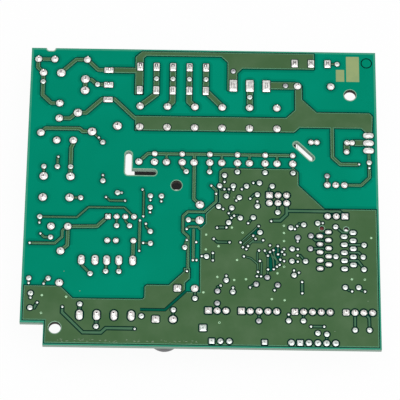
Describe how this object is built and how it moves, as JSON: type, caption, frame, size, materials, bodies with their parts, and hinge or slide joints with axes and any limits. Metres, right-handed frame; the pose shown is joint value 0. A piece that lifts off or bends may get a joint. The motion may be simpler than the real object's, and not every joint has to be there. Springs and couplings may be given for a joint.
{
  "type": "electronic control module",
  "caption": "Bare controller circuit board, solder side up, with relays, tab and pin headers, transformer and supply parts under it.",
  "frame": {"origin": "centre of the board in plan, on the level of the relay ends that it lies on", "axes": "+X along the long side of the board, +Y towards the mains edge, +Z out of the solder side"},
  "size_m": [0.104, 0.096, 0.0178],
  "materials": {
    "board": "glass epoxy laminate under a satin green solder lacquer",
    "lacquered_copper": "copper under the same lacquer, olive green",
    "solder": "bright tin solder, lightly dulled",
    "black_plastic": "black moulded case, semi gloss",
    "natural_plastic": "natural white polyamide",
    "red_plastic": "red moulded connector body",
    "tinned_contacts": "tinned brass blades, pins and leads",
    "ferrite": "dark grey ferrite, ground faces",
    "winding_tape": "yellow polyester tape over the winding",
    "enamelled_wire": "enamelled copper wire",
    "capacitor_box": "moulded capacitor box, dull yellow",
    "varistor_coating": "blue epoxy coating",
    "thermistor_coating": "black green lacquer coating",
    "fuse_body": "black fuse body",
    "can_sleeve": "dark shrink sleeve over an aluminium can"
  },
  "bodies": {
    "root": {"circuit_board": "board", "copper_pours": "lacquered_copper", "copper_tracks": "lacquered_copper", "solder_joints_mains": "solder", "solder_joints_low_voltage": "solder", "relay_1": "black_plastic", "relay_2": "black_plastic", "relay_3": "black_plastic", "relay_4": "black_plastic", "relay_5": "black_plastic", "relay_6": "black_plastic", "output_header": "natural_plastic", "output_header_blades": "tinned_contacts", "load_header": "natural_plastic", "load_header_blades": "tinned_contacts", "valve_header": "natural_plastic", "valve_header_blades": "tinned_contacts", "mains_header": "natural_plastic", "mains_header_blades": "tinned_contacts", "sensor_header_3way": "natural_plastic", "panel_header_left": "natural_plastic", "panel_header_right": "natural_plastic", "sensor_header_4way": "natural_plastic", "side_header_lower": "natural_plastic", "side_header_upper": "natural_plastic", "service_header": "black_plastic", "header_pins": "tinned_contacts", "ribbon_connector": "red_plastic", "ribbon_contacts": "tinned_contacts", "transformer_core": "ferrite", "transformer_bobbin": "black_plastic", "transformer_winding": "winding_tape", "choke_core": "ferrite", "choke_windings": "enamelled_wire", "choke_bobbin": "black_plastic", "suppression_capacitor": "capacitor_box", "snubber_capacitor": "capacitor_box", "coupling_capacitor": "capacitor_box", "film_capacitor": "capacitor_box", "varistor_upper": "varistor_coating", "varistor_lower": "varistor_coating", "safety_capacitor": "varistor_coating", "inrush_thermistor": "thermistor_coating", "fuse": "fuse_body", "bulk_capacitor": "can_sleeve", "output_capacitor_1": "can_sleeve", "output_capacitor_2": "can_sleeve", "output_capacitor_3": "can_sleeve", "component_leads": "tinned_contacts", "switcher_ic": "black_plastic", "switcher_ic_leads": "tinned_contacts", "microcontroller": "black_plastic", "microcontroller_leads": "tinned_contacts", "relay_driver": "black_plastic", "relay_driver_leads": "tinned_contacts", "power_switch": "black_plastic", "power_switch_metal": "tinned_contacts", "chip_parts": "ferrite", "rectifier_diodes": "black_plastic"}
  },
  "joints": []
}
